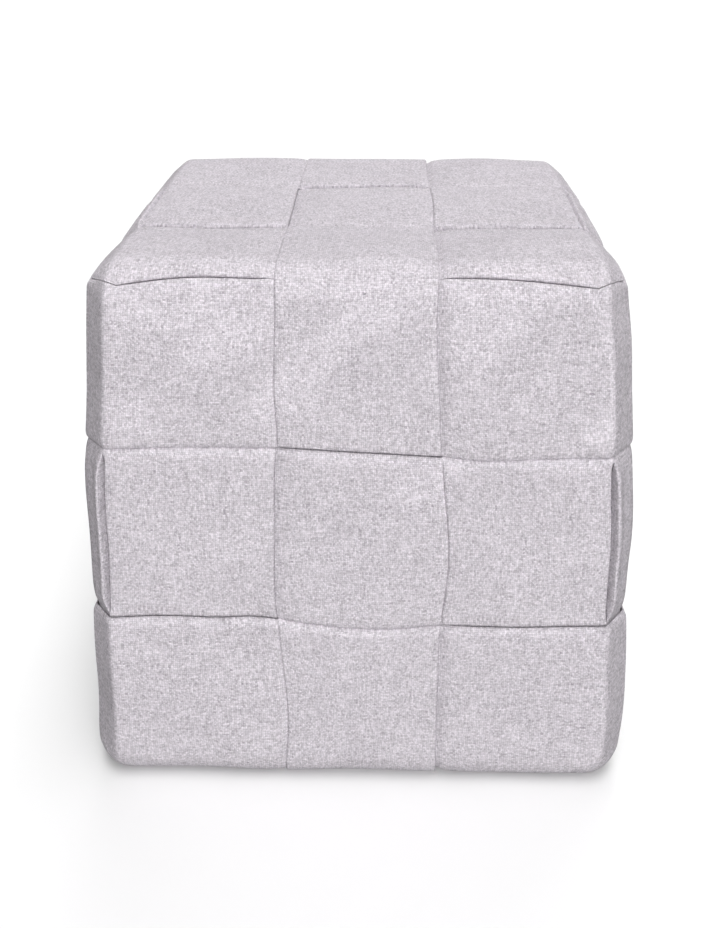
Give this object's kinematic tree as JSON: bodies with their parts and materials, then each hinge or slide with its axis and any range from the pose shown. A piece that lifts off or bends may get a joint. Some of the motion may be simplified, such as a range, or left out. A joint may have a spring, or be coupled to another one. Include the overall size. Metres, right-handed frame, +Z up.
{
  "type": "cube pouf stool",
  "caption": "Cube pouf stool woven from wide padded cloth bands that pass over and under each other on every face.",
  "frame": {"origin": "on the floor, under the middle of the stool", "axes": "+Z up, +X to the right and -Y towards the viewer, as the picture shows the front"},
  "size_m": [0.4392, 0.4382, 0.4491],
  "materials": {
    "woven_cloth": "pale heathered grey-lilac plain weave, matt"
  },
  "bodies": {
    "root": {"long_band_left": "woven_cloth", "long_band_middle": "woven_cloth", "long_band_right": "woven_cloth", "side_band_front": "woven_cloth", "side_band_middle": "woven_cloth", "side_band_back": "woven_cloth", "belt_lower": "woven_cloth", "belt_middle": "woven_cloth", "belt_upper": "woven_cloth"}
  },
  "joints": []
}
